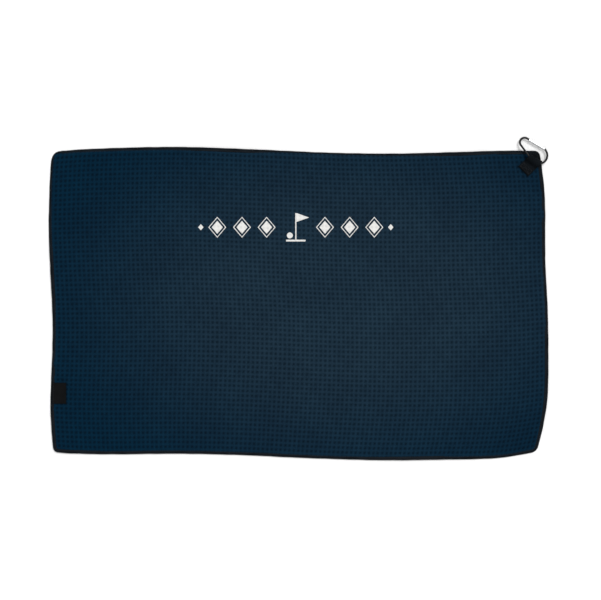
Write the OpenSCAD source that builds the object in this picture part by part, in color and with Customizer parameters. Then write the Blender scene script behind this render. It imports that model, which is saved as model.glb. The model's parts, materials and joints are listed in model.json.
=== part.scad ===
// Golf towel: a bound waffle towel with a corner loop, a snap carabiner and a folded label.
// Millimetres. The towel lies flat with its underside on z = 0 and its centre at the origin.

/* [Towel] */
// Nominal length of the towel along X
towel_l = 660; // [500:5:800]
// Nominal width of the towel along Y
towel_w = 408; // [300:2:500]
// Thickness of the waffle cloth
cloth_t = 2.0; // [1.6:0.1:3]
// Thickness of the cloth where the binding squeezes it
hem_t = 1.2; // [0.8:0.1:1.4]
// Visible width of the edge binding
binding_w = 5.0; // [4:0.5:7]
// Thickness of the binding tape
tape_t = 0.5; // [0.3:0.05:0.6]

/* [Stitching] */
// Width of a line of sewing thread
thread_w = 0.35; // [0.2:0.05:0.5]
// Height that the needle thread stands above the tape
thread_h = 0.2; // [0.1:0.05:0.3]
// Distance from the towel's edge to the binding seam
seam_in = 3.8; // [2.5:0.1:4]

/* [Corner strap] */
// Width of the webbing strap
strap_w = 19; // [15:1:22]
// Thickness of the webbing
strap_t = 0.8; // [0.6:0.1:0.8]
// Distance from the swing axis to the strap's sewn end
strap_reach = 19.5; // [17:0.5:24]
// Inner radius of the loop that holds the carabiner
loop_r = 4.0; // [4:0.1:4.2]
// Thickness of the flat patch under the strap
patch_t = 0.4; // [0.3:0.1:0.6]

/* [Carabiner] */
// Radius of the body wire
wire_r = 1.4; // [1.3:0.05:1.5]
// Centreline radius of the narrow end
narrow_r = 6.4; // [6:0.1:7]
// Centreline radius of the wide end
wide_r = 11.5; // [11:0.1:12]
// Distance between the two ends' centres along the gate
end_gap = 24.9; // [24:0.1:26]
// Angle by which the carabiner droops below the swing axis
droop = 8; // [0:1:8]
// Radius of the gate
gate_r = 2.0; // [1.9:0.05:2.1]

/* [Label] */
// Length of the folded label, from its seam to its fold
label_l = 16.4; // [10:0.2:30]
// Width of the label along the towel's edge
label_w = 28; // [15:1:40]
// Thickness of the folded label
label_t = 0.6; // [0.4:0.1:1]

/* [Printed motif] */
// Overall length of the motif
motif_l = 268; // [150:2:300]
// Overall height of the motif
motif_h = 38; // [25:1:50]
// Thickness of the print
print_t = 0.1; // [0.05:0.05:0.2]

/* [Hidden] */
$fn = 72;

fit_gap = 0.1;
overcut = 1;
binding_t = hem_t + 2 * tape_t;
hem_z = tape_t;
seam_z = binding_t + thread_h;

// The towel's outline as it lies, clockwise from its top left corner, on a 660 x 408 towel.
drawn_size = [660, 408];
top_side = [
    [-330, 203.5], [-270, 207.3], [-165, 209.6], [-60, 206.3], [40, 202],
    [125, 200.7], [205, 202.5], [270, 204.5], [322, 204.5]
];
right_side = [
    [322, 204.5], [326, 177.5], [329.5, 137], [330, 57], [333, -3],
    [334, -63], [333, -123], [327, -164], [318.5, -198.5]
];
bottom_side = [
    [318.5, -198.5], [264, -207], [185, -209], [105, -209.6], [10, -206.8],
    [-70, -203.1], [-160, -201], [-245, -201.8], [-300, -200.8], [-328, -199]
];
left_side = [
    [-328, -199], [-330, -180], [-332.4, -132], [-329.8, -64], [-329.6, -15],
    [-333, 55], [-334.6, 100], [-334, 140], [-332.5, 178], [-330, 203.5]
];
side_steps = 5;
corner_steps = 8;
corner_r = 8;
soft_corner_r = 14;

function scaled(p) = [p.x * towel_l / drawn_size.x, p.y * towel_w / drawn_size.y];

// A point on the smooth curve from b to c, where a and d are the knots on either side of them.
function on_curve(a, b, c, d, t) =
    (2 * b + (c - a) * t + (2 * a - 5 * b + 4 * c - d) * t * t
    + (3 * b - a - 3 * c + d) * t * t * t) / 2;

// One side of the towel, cut short by r0 and r1 at its two corners.
function side_points(knots, r0, r1) =
    let (
        k = [for (p = knots) scaled(p)],
        n = len(k),
        q = concat([2 * k[0] - k[1]], k, [2 * k[n - 1] - k[n - 2]]),
        t0 = r0 / norm(k[1] - k[0]),
        t1 = 1 - r1 / norm(k[n - 1] - k[n - 2])
    )
    [for (i = [0 : n - 2])
        let (a = i == 0 ? t0 : 0, b = i == n - 2 ? t1 : 1, last = i == n - 2 ? side_steps : side_steps - 1)
        for (j = [0 : last])
            on_curve(q[i], q[i + 1], q[i + 2], q[i + 3], a + (b - a) * j / side_steps)];

// A rounded corner between two sides, drawn towards the sharp corner c.
function corner_points(a, c, b) =
    [for (j = [1 : corner_steps - 1])
        let (t = j / corner_steps)
        (1 - t) * (1 - t) * a + 2 * t * (1 - t) * c + t * t * b];

function last_of(list) = list[len(list) - 1];

top_run = side_points(top_side, soft_corner_r, corner_r);
right_run = side_points(right_side, corner_r, corner_r);
bottom_run = side_points(bottom_side, corner_r, corner_r);
left_run = side_points(left_side, corner_r, soft_corner_r);
towel_outline = concat(
    top_run, corner_points(last_of(top_run), scaled(right_side[0]), right_run[0]),
    right_run, corner_points(last_of(right_run), scaled(bottom_side[0]), bottom_run[0]),
    bottom_run, corner_points(last_of(bottom_run), scaled(left_side[0]), left_run[0]),
    left_run, corner_points(last_of(left_run), scaled(top_side[0]), top_run[0])
);

// The outline moved inwards by d.
function inset(points, d) =
    let (n = len(points))
    [for (i = [0 : n - 1])
        let (along = points[(i + 1) % n] - points[(i + n - 1) % n])
        points[i] + d * [along.y, -along.x] / norm(along)];

module slab(d, z0, z1) {
    translate([0, 0, z0])
        linear_extrude(z1 - z0)
            polygon(inset(towel_outline, d));
}

module seam_ring(z0, z1) {
    difference() {
        slab(seam_in, z0, z1);
        slab(seam_in + thread_w, z0 - overcut, z1 + overcut);
    }
}

module waffle_cloth() {
    color([0.11, 0.18, 0.24])
        union() {
            slab(binding_w + fit_gap, 0, cloth_t);
            slab(tape_t + fit_gap, hem_z, hem_z + hem_t);
        }
}

module edge_binding() {
    color([0.06, 0.08, 0.09])
        difference() {
            slab(0, 0, binding_t);
            slab(binding_w, -overcut, binding_t + overcut);
            slab(tape_t, hem_z, hem_z + hem_t);
            seam_ring(-overcut, thread_h);
        }
}

module binding_needle_thread() {
    color([0.10, 0.11, 0.13])
        seam_ring(binding_t, seam_z);
}

module binding_bobbin_thread() {
    color([0.10, 0.11, 0.13])
        seam_ring(0, thread_h);
}

// The strap lies on the towel's diagonal and the carabiner swings about an axis across it.
strap_heading = 45;
gate_heading = -30.9;
swing_from_corner = [-7.7, -13.6];
swing_at = scaled(right_side[0]) + swing_from_corner;
patch_top = seam_z + patch_t;
loop_sink = 0.15;
loop_out_r = loop_r + strap_t;
swing_z = patch_top + loop_out_r - loop_sink;
strap_top = patch_top + 2 * strap_t;
long_cut = 60;

module at_strap() {
    translate([swing_at.x, swing_at.y, 0])
        rotate([0, 0, strap_heading])
            children();
}

module at_swing() {
    translate([swing_at.x, swing_at.y, swing_z])
        rotate([0, 0, gate_heading])
            children();
}

module strap_strip(z0, z1, reach) {
    at_strap()
        translate([-strap_reach, -strap_w / 2, z0])
            cube([strap_reach + reach, strap_w, z1 - z0]);
}

module corner_patch() {
    patch_edge = 0.6;
    color([0.05, 0.06, 0.07])
        intersection() {
            strap_strip(cloth_t, patch_top, long_cut);
            union() {
                slab(patch_edge, seam_z, patch_top);
                slab(binding_w + fit_gap, cloth_t, patch_top);
            }
        }
}

module swing_rod(r) {
    at_swing()
        translate([-long_cut / 2, 0, 0])
            rotate([0, 90, 0])
                cylinder(h = long_cut, r = r);
}

// The side view of the webbing where its upper layer climbs from the stitching to the loop.
module strap_ramp() {
    ramp_foot = -10.5;
    ramp_head = [-1.8, 4.2];
    under = patch_top - swing_z;
    at_swing()
        rotate([90, 0, 90])
            linear_extrude(long_cut, center = true)
                polygon([
                    [ramp_foot, under], [0, under], [0, ramp_head.y],
                    ramp_head, [ramp_foot, strap_top - swing_z]
                ]);
}

// The loop's edge stands clear of the wire where it bends away from the swing axis.
module loop_flare() {
    flare_from = 9.9;
    flare_l = 1.5;
    at_swing()
        translate([flare_from, 0, 0])
            rotate([0, 90, 0])
                cylinder(h = flare_l, r1 = loop_r, r2 = loop_r + 2 * flare_l);
}

module carabiner_strap() {
    sewn_l = 11.2;
    color([0.06, 0.07, 0.09])
        difference() {
            union() {
                intersection() {
                    strap_strip(patch_top, swing_z + 2 * loop_out_r, 2 * loop_out_r);
                    union() {
                        swing_rod(loop_out_r);
                        strap_ramp();
                    }
                }
                strap_strip(patch_top, strap_top, sewn_l - strap_reach);
            }
            swing_rod(loop_r);
            loop_flare();
        }
}

// A straight line of thread from a to b on the strap, seen from above in the strap's own frame.
module thread_line(a, b) {
    run = b - a;
    translate([a.x, a.y, strap_top])
        rotate([0, 0, atan2(run.y, run.x)])
            translate([-thread_w / 2, -thread_w / 2, 0])
                cube([norm(run) + thread_w, thread_w, thread_h]);
}

module strap_stitching() {
    box_l = 5;
    box_w = strap_w - 4;
    near = 1.5 - strap_reach;
    a = [near, -box_w / 2];
    b = [near + box_l, -box_w / 2];
    c = [near + box_l, box_w / 2];
    d = [near, box_w / 2];
    color([0.12, 0.13, 0.15])
        at_strap() {
            thread_line(a, b);
            thread_line(b, c);
            thread_line(d, c);
            thread_line(a, d);
            thread_line(a, c);
            thread_line(d, b);
        }
}

// The label is a stadium in section, so that it can turn about its sewn end.
label_y = -120;
label_seam_x = -327.6 * towel_l / drawn_size.x;
label_z = binding_t + 0.25 + label_t / 2;

module care_label() {
    color([0.08, 0.08, 0.09])
        translate([label_seam_x, label_y * towel_w / drawn_size.y, label_z])
            rotate([90, 0, 0])
                linear_extrude(label_w, center = true)
                    union() {
                        circle(r = label_t / 2);
                        translate([label_l, 0])
                            circle(r = label_t / 2);
                        translate([0, -label_t / 2])
                            square([label_l, label_t]);
                    }
}

// A golf flag and ball between two rows of argyle diamonds, in place of any lettering.
motif_at = [-4, 102];

module diamond(l, h) {
    polygon([[-l / 2, 0], [0, h / 2], [l / 2, 0], [0, -h / 2]]);
}

module diamond_frame(l, h, line) {
    difference() {
        diamond(l, h);
        diamond(l - line * 2.6, h - line * 2.6);
    }
}

module pin_flag() {
    pole_w = 1.6;
    flag_l = 17;
    flag_h = 12;
    green_l = 26;
    green_h = 2.4;
    translate([-pole_w / 2, -motif_h / 2])
        square([pole_w, motif_h]);
    translate([pole_w / 2, motif_h / 2 - flag_h])
        polygon([[0, 0], [0, flag_h], [flag_l, flag_h / 2]]);
    translate([-green_l / 2, -motif_h / 2])
        square([green_l, green_h]);
}

module printed_motif() {
    ball_r = 4;
    line = 1.2;
    pitch = 33;
    first = 39;
    diamond_l = 24;
    diamond_h = motif_h * 0.74;
    color([0.93, 0.93, 0.91])
        translate([motif_at.x, motif_at.y, cloth_t])
            scale(motif_l / 268)
                linear_extrude(print_t) {
                    pin_flag();
                    translate([-ball_r * 2, -motif_h / 2 + ball_r * 2])
                        circle(r = ball_r);
                    for (way = [-1, 1])
                        for (i = [0 : 2])
                            translate([way * (first + i * pitch), 0]) {
                                diamond(diamond_l * 0.62, diamond_h * 0.62);
                                diamond_frame(diamond_l, diamond_h, line);
                            }
                    for (way = [-1, 1])
                        translate([way * (first + 2 * pitch + 22), 0])
                            diamond(diamond_l * 0.3, diamond_h * 0.3);
                }
}

// The carabiner is drawn with X along its gate, Y away from the strap and its swing axis as X.
gate_y = 21;
narrow_at = [-23.2, gate_y - narrow_r];
wide_at = [narrow_at.x + end_gap, gate_y - wide_r];
spine_lean = 2 * atan((wide_r - narrow_r) / end_gap);
spine_turn = 90 + spine_lean;
pivot_x = -18.8;
pin_r = 0.6;
pin_gap = 0.05;
tongue_t = 1.2;
tongue_r = 1.2;
gate_end = [-19.8, 4.2];
wire_end = -21;
slot_gap = 0.1;
nose_angle = 73;
nose_end = 5.4;
latch_x = 3.2;
latch_r = 0.45;

module at_carabiner() {
    at_swing()
        rotate([-droop, 0, 0])
            children();
}

module wire_arc(at, r, from_angle, turn) {
    translate([at.x, at.y, 0])
        rotate([0, 0, from_angle])
            rotate_extrude(angle = turn)
                translate([r, 0])
                    circle(r = wire_r);
}

// A straight run reaches a little way into the bends at its ends, where it is a hair thinner.
module wire_run(a, b) {
    run = b - a;
    run_in = 0.3;
    run_thin = 0.03;
    translate([a.x, a.y, 0])
        rotate([0, 0, atan2(run.y, run.x)])
            translate([-run_in, 0, 0])
                rotate([0, 90, 0])
                    cylinder(h = norm(run) + 2 * run_in, r = wire_r - run_thin);
}

module carabiner_wire() {
    spine_out = [cos(spine_turn), -sin(spine_turn)];
    wire_arc(narrow_at, narrow_r, 90, 270 - spine_turn);
    wire_run(narrow_at + narrow_r * spine_out, wide_at + wide_r * spine_out);
    wire_arc(wide_at, wide_r, -spine_turn, spine_turn + nose_angle);
    wire_run([narrow_at.x, gate_y], [wire_end, gate_y]);
}

module hinge_tongue() {
    tongue_start = wire_end - 0.6;
    translate([pivot_x, gate_y])
        linear_extrude(tongue_t, center = true)
            difference() {
                union() {
                    circle(r = tongue_r);
                    translate([tongue_start - pivot_x, -tongue_r])
                        square([pivot_x - tongue_start, 2 * tongue_r]);
                }
                circle(r = pin_r + pin_gap);
            }
}

// The nose carries a hook that the gate's latch pin closes against.
module nose_hook() {
    hook_end = 2.0;
    hook_low = 1.4;
    hook_high = 1.2;
    notch_r = latch_r + 0.15;
    difference() {
        translate([hook_end, gate_y - hook_low, -tongue_t / 2])
            cube([nose_end - hook_end, hook_low + hook_high, tongue_t]);
        translate([latch_x, gate_y, -overcut])
            cylinder(h = 2 * overcut, r = notch_r);
        translate([latch_x - notch_r, gate_y - 2 * hook_low, -overcut])
            cube([2 * notch_r, 2 * hook_low, 2 * overcut]);
    }
}

module carabiner_body() {
    color([0.05, 0.05, 0.06])
        at_carabiner()
            union() {
                carabiner_wire();
                hinge_tongue();
                nose_hook();
            }
}

bore_r = 0.97;
bore_x = [-17.9, -4];
plunger_r = 0.9;
plunger_l = 3.6;
plunger_x = pivot_x + tongue_r + 0.05;
slot_end = -16.2;
nose_slot = 1.3;

module rod_x(x0, x1, r) {
    translate([x0, gate_y, 0])
        rotate([0, 90, 0])
            cylinder(h = x1 - x0, r = r);
}

module gate_slot(x0, x1) {
    half = tongue_t / 2 + slot_gap;
    translate([x0, gate_y - 2 * gate_r, -half])
        cube([x1 - x0, 4 * gate_r, 2 * half]);
}

module carabiner_gate() {
    color([0.78, 0.79, 0.80])
        at_carabiner()
            difference() {
                rod_x(gate_end.x, gate_end.y, gate_r);
                gate_slot(gate_end.x - overcut, slot_end);
                gate_slot(nose_slot, gate_end.y + overcut);
                rod_x(bore_x.x, bore_x.y, bore_r);
                pin_at(pivot_x, pin_r, 3 * gate_r);
                pin_at(latch_x, latch_r, 3 * gate_r);
            }
}

module pin_at(x, r, l) {
    translate([x, gate_y, -l / 2])
        cylinder(h = l, r = r);
}

module gate_pivot_pin() {
    color([0.70, 0.71, 0.72])
        at_carabiner()
            pin_at(pivot_x, pin_r, 1.95 * gate_r);
}

module gate_latch_pin() {
    color([0.70, 0.71, 0.72])
        at_carabiner()
            pin_at(latch_x, latch_r, 1.95 * gate_r);
}

module gate_plunger() {
    color([0.72, 0.66, 0.50])
        at_carabiner()
            rod_x(plunger_x, plunger_x + plunger_l, plunger_r);
}

// A helix of round wire between the plunger and the bottom of the gate's bore.
spring_turns = 6;
spring_r = 0.65;
spring_wire = 0.14;
spring_rings = 14;
spring_sides = 6;

function spring_point(i, j) =
    let (
        turn = 360 * i / spring_rings,
        round = 360 * j / spring_sides,
        x0 = plunger_x + plunger_l + spring_wire + 0.05,
        x1 = bore_x.y - spring_wire - 0.05,
        x = x0 + (x1 - x0) * i / (spring_turns * spring_rings),
        r = spring_r + spring_wire * cos(round)
    )
    [x + spring_wire * sin(round), gate_y + r * cos(turn), r * sin(turn)];

// The two triangles between rows j and k of the ring that starts at point a and the next ring.
function spring_faces(a, j, k) =
    let (b = a + spring_sides)
    [[a + j, b + j, b + k], [a + j, b + k, a + k]];

module gate_spring() {
    rings = spring_turns * spring_rings;
    last = rings * spring_sides;
    color([0.70, 0.71, 0.72])
        at_carabiner()
            polyhedron(
                points = [for (i = [0 : rings]) for (j = [0 : spring_sides - 1]) spring_point(i, j)],
                faces = concat(
                    [[for (j = [0 : spring_sides - 1]) j]],
                    [[for (j = [spring_sides - 1 : -1 : 0]) last + j]],
                    [for (i = [0 : rings - 1]) for (j = [0 : spring_sides - 1])
                        for (face = spring_faces(i * spring_sides, j, (j + 1) % spring_sides)) face]
                )
            );
}

waffle_cloth();
edge_binding();
binding_needle_thread();
binding_bobbin_thread();
corner_patch();
carabiner_strap();
strap_stitching();
care_label();
printed_motif();
carabiner_body();
carabiner_gate();
gate_pivot_pin();
gate_latch_pin();
gate_spring();
gate_plunger();
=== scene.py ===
"""A waffle golf towel lying flat, with bound edges, a corner strap and carabiner, a label and a print."""

import json
import math

import bmesh
import bpy
import numpy as np
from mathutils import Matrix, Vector
from mathutils.bvhtree import BVHTree
from mathutils.geometry import delaunay_2d_cdt
from mathutils.kdtree import KDTree


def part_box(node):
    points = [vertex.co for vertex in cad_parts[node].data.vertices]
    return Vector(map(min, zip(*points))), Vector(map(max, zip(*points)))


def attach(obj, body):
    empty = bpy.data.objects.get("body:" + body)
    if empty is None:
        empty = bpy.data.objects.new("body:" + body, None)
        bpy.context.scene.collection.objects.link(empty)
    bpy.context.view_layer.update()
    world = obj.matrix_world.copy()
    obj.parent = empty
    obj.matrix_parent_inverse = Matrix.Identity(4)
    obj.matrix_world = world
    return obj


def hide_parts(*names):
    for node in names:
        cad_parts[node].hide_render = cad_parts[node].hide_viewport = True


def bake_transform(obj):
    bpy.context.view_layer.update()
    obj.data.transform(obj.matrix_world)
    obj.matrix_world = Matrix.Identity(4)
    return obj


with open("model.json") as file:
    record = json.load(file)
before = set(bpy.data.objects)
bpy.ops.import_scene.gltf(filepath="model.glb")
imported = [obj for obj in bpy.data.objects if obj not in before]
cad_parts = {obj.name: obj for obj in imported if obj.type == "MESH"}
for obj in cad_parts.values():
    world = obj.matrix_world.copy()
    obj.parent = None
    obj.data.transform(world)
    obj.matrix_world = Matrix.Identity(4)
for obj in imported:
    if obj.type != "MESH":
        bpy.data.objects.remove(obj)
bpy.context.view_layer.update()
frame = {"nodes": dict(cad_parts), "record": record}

MM = 0.001
rng = np.random.default_rng(7)

# Thicknesses and places, in metres, read from the frame wherever a node holds them.
BINDING_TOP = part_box("edge_binding")[1][2]
PATCH_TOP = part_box("corner_patch")[1][2]
BINDING_W = 5.0 * MM
TAPE_T = 0.5 * MM
SEAM_IN = 4.0 * MM
STRAP_W = 19.0 * MM
STRAP_REACH = 19.5 * MM
STRAP_T = 0.8 * MM
LOOP_R = 4.0 * MM
STRAP_HEADING = math.radians(45)
SWING = next(j for j in frame["record"]["behaviour"]["joints"] if j["name"] == "carabiner_swing")
SWING_AT = np.array(SWING["pos_m"])
SWING_AXIS = np.array(SWING["axis"])
CELLS = (110, 64)

# The outline as the towel lies, in millimetres, clockwise from its top left corner, as the CAD has it.
TOP = [(-330, 203.5), (-270, 207.3), (-165, 209.6), (-60, 206.3), (40, 202),
       (125, 200.7), (205, 202.5), (270, 204.5), (322, 204.5)]
RIGHT = [(322, 204.5), (326, 177.5), (329.5, 137), (330, 57), (333, -3),
         (334, -63), (333, -123), (327, -164), (318.5, -198.5)]
BOTTOM = [(318.5, -198.5), (264, -207), (185, -209), (105, -209.6), (10, -206.8),
          (-70, -203.1), (-160, -201), (-245, -201.8), (-300, -200.8), (-328, -199)]
LEFT = [(-328, -199), (-330, -180), (-332.4, -132), (-329.8, -64), (-329.6, -15),
        (-333, 55), (-334.6, 100), (-334, 140), (-332.5, 178), (-330, 203.5)]
CORNER_R = 8.0 * MM
SOFT_CORNER_R = 14.0 * MM


# ---------------------------------------------------------------- curves and the outline

def smooth_step(x):
    x = np.clip(x, 0, 1)
    return x * x * (3 - 2 * x)


def cubic(a, b, c, d, t):
    """The smooth curve from b to c at t from 0 to 1, where a and d are its neighbours."""
    return (2 * b + (c - a) * t + (2 * a - 5 * b + 4 * c - d) * t ** 2
            + (3 * b - a - 3 * c + d) * t ** 3) / 2


def run_length(points):
    """The length run along a line at each of its points."""
    return np.concatenate([[0], np.cumsum(np.linalg.norm(np.diff(points, axis=0), axis=1))])


def border(grid):
    """The outer entries of a grid, once round."""
    return np.concatenate([grid[:, 0], grid[-1, 1:], grid[-2::-1, -1], grid[0, -2:0:-1]])


def side_curve(knots, r0=0.0, r1=0.0, steps=24):
    """One side as a dense smooth curve through its knots, cut short by r0 and r1 at its corners."""
    k = np.array(knots, float) * MM
    q = np.vstack([2 * k[0] - k[1], k, 2 * k[-1] - k[-2]])
    t0 = r0 / np.linalg.norm(k[1] - k[0])
    t1 = 1 - r1 / np.linalg.norm(k[-1] - k[-2])
    out = []
    n = len(k)
    for i in range(n - 1):
        low = t0 if i == 0 else 0
        high = t1 if i == n - 2 else 1
        t = np.linspace(low, high, steps + 1)[:, None]
        p = cubic(*q[i:i + 4], t)
        out.append(p if i == n - 2 else p[:-1])
    return np.vstack(out)


def corner_curve(a, c, b, steps=10):
    """The inner points of a round corner from a to b, with its sharp corner at c."""
    t = np.linspace(0, 1, steps + 1)[1:-1, None]
    return (1 - t) ** 2 * a + 2 * t * (1 - t) * c + t ** 2 * b


def resample(points, step, closed=False):
    """Points every step along a line, at whole fractions of its length."""
    p = np.vstack([points, points[:1]]) if closed else points
    run = run_length(p)
    n = max(int(round(run[-1] / step)), 3)
    s = np.linspace(0, run[-1], n + 1)
    if closed:
        s = s[:-1]
    return np.stack([np.interp(s, run, p[:, i]) for i in range(p.shape[1])], axis=1)


def outline():
    """The towel's outline, clockwise: four wavy sides joined by round corners."""
    runs = [side_curve(TOP, SOFT_CORNER_R, CORNER_R), side_curve(RIGHT, CORNER_R, CORNER_R),
            side_curve(BOTTOM, CORNER_R, CORNER_R), side_curve(LEFT, CORNER_R, SOFT_CORNER_R)]
    corners = [np.array(side[0]) * MM for side in (RIGHT, BOTTOM, LEFT, TOP)]
    points = []
    for i, run in enumerate(runs):
        points += [run, corner_curve(run[-1], corners[i], runs[(i + 1) % 4][0])]
    return np.vstack(points)


def inward(points):
    """Unit normals that point into a clockwise closed line."""
    along = np.roll(points, -1, axis=0) - np.roll(points, 1, axis=0)
    along /= np.linalg.norm(along, axis=1)[:, None]
    return np.stack([along[:, 1], -along[:, 0]], axis=1)


EDGE = resample(outline(), 1.0 * MM, closed=True)
EDGE_IN = inward(EDGE)


# ---------------------------------------------------------------- the lie of the cloth

def bump_line(x, y, a, b, width, height):
    """A soft fold that runs from a to b and dies away at its ends."""
    a, b = np.array(a) * MM, np.array(b) * MM
    d = b - a
    length = np.linalg.norm(d)
    d = d / length
    along = (x - a[0]) * d[0] + (y - a[1]) * d[1]
    across = -(x - a[0]) * d[1] + (y - a[1]) * d[0]
    end = FOLD_END * length
    falloff = smooth_step(along / end) * smooth_step((length - along) / end)
    return FOLD_GAIN * height * MM * falloff * np.exp(-(across / (width * MM)) ** 2)


# Folds as seen: start, end, width and height, all in millimetres.
FOLDS = [
    ((-12, 196), (-4, 120), 9, 2.6), ((10, 200), (22, 150), 7, 1.8), ((-40, 198), (-44, 150), 8, 1.4),
    ((-330, 12), (-150, 6), 8, 2.4), ((-325, -20), (-210, -30), 9, 1.4),
    ((-326, -70), (-304, -118), 6, 1.8), ((-250, -196), (-262, -120), 9, 1.5),
    ((300, 150), (330, 108), 7, 2.2), ((288, -10), (332, -34), 7, 2.4), ((296, 40), (330, 30), 7, 1.4),
    ((60, -205), (80, -120), 12, 1.8), ((210, -206), (196, -150), 10, 1.7),
    ((-170, 205), (-150, 140), 10, 1.5), ((200, 196), (188, 140), 9, 1.4),
    ((-60, 40), (90, 10), 22, 1.2), ((80, 96), (230, 60), 20, 1.1), ((-240, 90), (-120, 40), 20, 1.2),
]
FOLD_GAIN = 1.3
FOLD_END = 0.3  # the share of a fold's length over which each end dies away
SWELL_H = 0.55 * MM
# Where the corner strap and the label lie: centre and radius, in millimetres.
QUIET = [((300, 182), 46), ((-318, -120), 24)]
CLOTH_GAP = 0.6 * MM  # how far the sheet that settles is kept above the cloth's underside
SETTLED_SHARE, SEED_SHARE = 0.85, 0.15  # what the settled sheet and its seed each give to the height
HIGHEST = 7 * MM


def quiet_mask(x, y):
    """0 where a rigid CAD piece lies on the towel, so that the cloth stays flat under it."""
    mask = np.ones_like(x)
    for (cx, cy), r in QUIET:
        mask *= smooth_step((np.hypot(x - cx * MM, y - cy * MM) / (r * MM) - 0.75) / 0.6)
    return mask


def seed_height(x, y):
    """The height of the cloth's underside before it settles: folds and slow swells."""
    swell = (np.sin(x * 17 + 1.3 * np.sin(y * 13)) * np.sin(y * 21 + 0.7)
             + 0.6 * np.sin(x * 31 - y * 19 + 2.0) * np.sin(y * 11 + x * 7))
    h = SWELL_H * (swell + 1.2)
    for a, b, width, height in FOLDS:
        h = h + bump_line(x, y, a, b, width, height)
    return np.maximum(h * quiet_mask(x, y), 0)


def patch_grid(ns, nt):
    """The towel's plan as a grid whose rows follow its four wavy sides (a Coons patch)."""
    top = resample(side_curve(TOP), 1 * MM)
    bottom = resample(side_curve(BOTTOM)[::-1], 1 * MM)
    left = resample(side_curve(LEFT), 1 * MM)
    right = resample(side_curve(RIGHT)[::-1], 1 * MM)
    s, t = np.linspace(0, 1, ns + 1), np.linspace(0, 1, nt + 1)

    def at(line, u):
        f = u * (len(line) - 1)
        i = np.minimum(f.astype(int), len(line) - 2)
        w = (f - i)[:, None]
        return line[i] * (1 - w) + line[i + 1] * w

    bot, up, lef, rig = at(bottom, s), at(top, s), at(left, t), at(right, t)
    s2, t2 = s[:, None, None], t[None, :, None]
    return (bot[:, None] * (1 - t2) + up[:, None] * t2 + lef[None] * (1 - s2) + rig[None] * s2
            - (bottom[0] * (1 - s2) * (1 - t2) + bottom[-1] * s2 * (1 - t2)
               + top[0] * (1 - s2) * t2 + top[-1] * s2 * t2))


def settle(nx=120, ny=74, frames=22):
    """Lets a coarse sheet with the seeded folds settle on the table under its own weight, as cloth."""
    plan = patch_grid(nx, ny)
    x, y = plan[..., 0], plan[..., 1]
    z = seed_height(x, y)
    verts = np.stack([x, y, z + CLOTH_GAP], axis=-1).reshape(-1, 3)
    cloth = mesh_object("settling", verts, grid_faces(nx + 1, ny + 1))
    edge = cloth.vertex_groups.new(name="held")
    index = np.arange((nx + 1) * (ny + 1)).reshape(nx + 1, ny + 1)
    held = set(border(index)) | set(index[quiet_mask(x, y) < 0.05])
    edge.add([int(i) for i in held], 1.0, "REPLACE")
    table = mesh_object("settling_table", np.array(
        [(-0.6, -0.5, 0), (0.6, -0.5, 0), (0.6, 0.5, 0), (-0.6, 0.5, 0)]), [(0, 1, 2, 3)])
    table.modifiers.new("Collision", "COLLISION")
    table.collision.thickness_outer = 0.4 * MM
    table.collision.cloth_friction = 30
    mod = cloth.modifiers.new("Cloth", "CLOTH")
    s = mod.settings
    s.quality = 6
    s.mass = 0.05
    s.tension_stiffness = s.compression_stiffness = s.shear_stiffness = 12
    s.bending_stiffness = 1.2
    s.air_damping = 2
    s.vertex_group_mass = "held"
    mod.collision_settings.distance_min = 0.3 * MM
    scene = bpy.context.scene
    for f in range(1, frames + 1):
        scene.frame_set(f)
    shown = cloth.evaluated_get(bpy.context.evaluated_depsgraph_get())
    co = np.empty(len(shown.data.vertices) * 3)
    shown.data.vertices.foreach_get("co", co)
    scene.frame_set(1)
    for o in (cloth, table):
        bpy.data.objects.remove(o, do_unlink=True)
    settled = co.reshape(nx + 1, ny + 1, 3)[..., 2] - CLOTH_GAP
    return np.clip(settled, 0, HIGHEST) * SETTLED_SHARE + SEED_SHARE * z


# ---------------------------------------------------------------- mesh helpers

def mesh_object(name, verts, faces):
    """A new object from points and faces that all have the same number of corners."""
    mesh = bpy.data.meshes.new(name)
    faces = np.asarray(faces)
    verts = np.asarray(verts, np.float32)
    n = faces.shape[1]
    mesh.vertices.add(len(verts))
    mesh.vertices.foreach_set("co", verts.ravel())
    mesh.loops.add(faces.size)
    mesh.loops.foreach_set("vertex_index", faces.ravel().astype(np.int32))
    mesh.polygons.add(len(faces))
    mesh.polygons.foreach_set("loop_start", (np.arange(len(faces)) * n).astype(np.int32))
    mesh.update(calc_edges=True)
    mesh.polygons.foreach_set("use_smooth", np.full(len(faces), True))
    obj = bpy.data.objects.new(name, mesh)
    bpy.context.scene.collection.objects.link(obj)
    return obj


def grid_faces(n, m, start=0, flip=False):
    """Quads of an n by m grid of points, m running fastest."""
    i, j = np.meshgrid(np.arange(n - 1), np.arange(m - 1), indexing="ij")
    a = (start + i * m + j).ravel()
    f = np.stack([a, a + m, a + m + 1, a + 1], axis=1)
    return f[:, ::-1] if flip else f


def loop_faces(rings, sides, closed=True):
    """Quads between closed rings of points. closed joins the last ring to the first."""
    count = rings if closed else rings - 1
    i, j = np.meshgrid(np.arange(count), np.arange(sides), indexing="ij")
    a, b = i * sides, ((i + 1) % rings) * sides
    k = (j + 1) % sides
    return np.stack([a + j, b + j, b + k, a + k], axis=-1).reshape(-1, 4)


def add_point_value(obj, name, values):
    a = obj.data.attributes.new(name, "FLOAT", "POINT")
    a.data.foreach_set("value", np.asarray(values, np.float32))


def add_point_vector(obj, name, values):
    a = obj.data.attributes.new(name, "FLOAT_VECTOR", "POINT")
    a.data.foreach_set("vector", np.asarray(values, np.float32).ravel())


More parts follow.
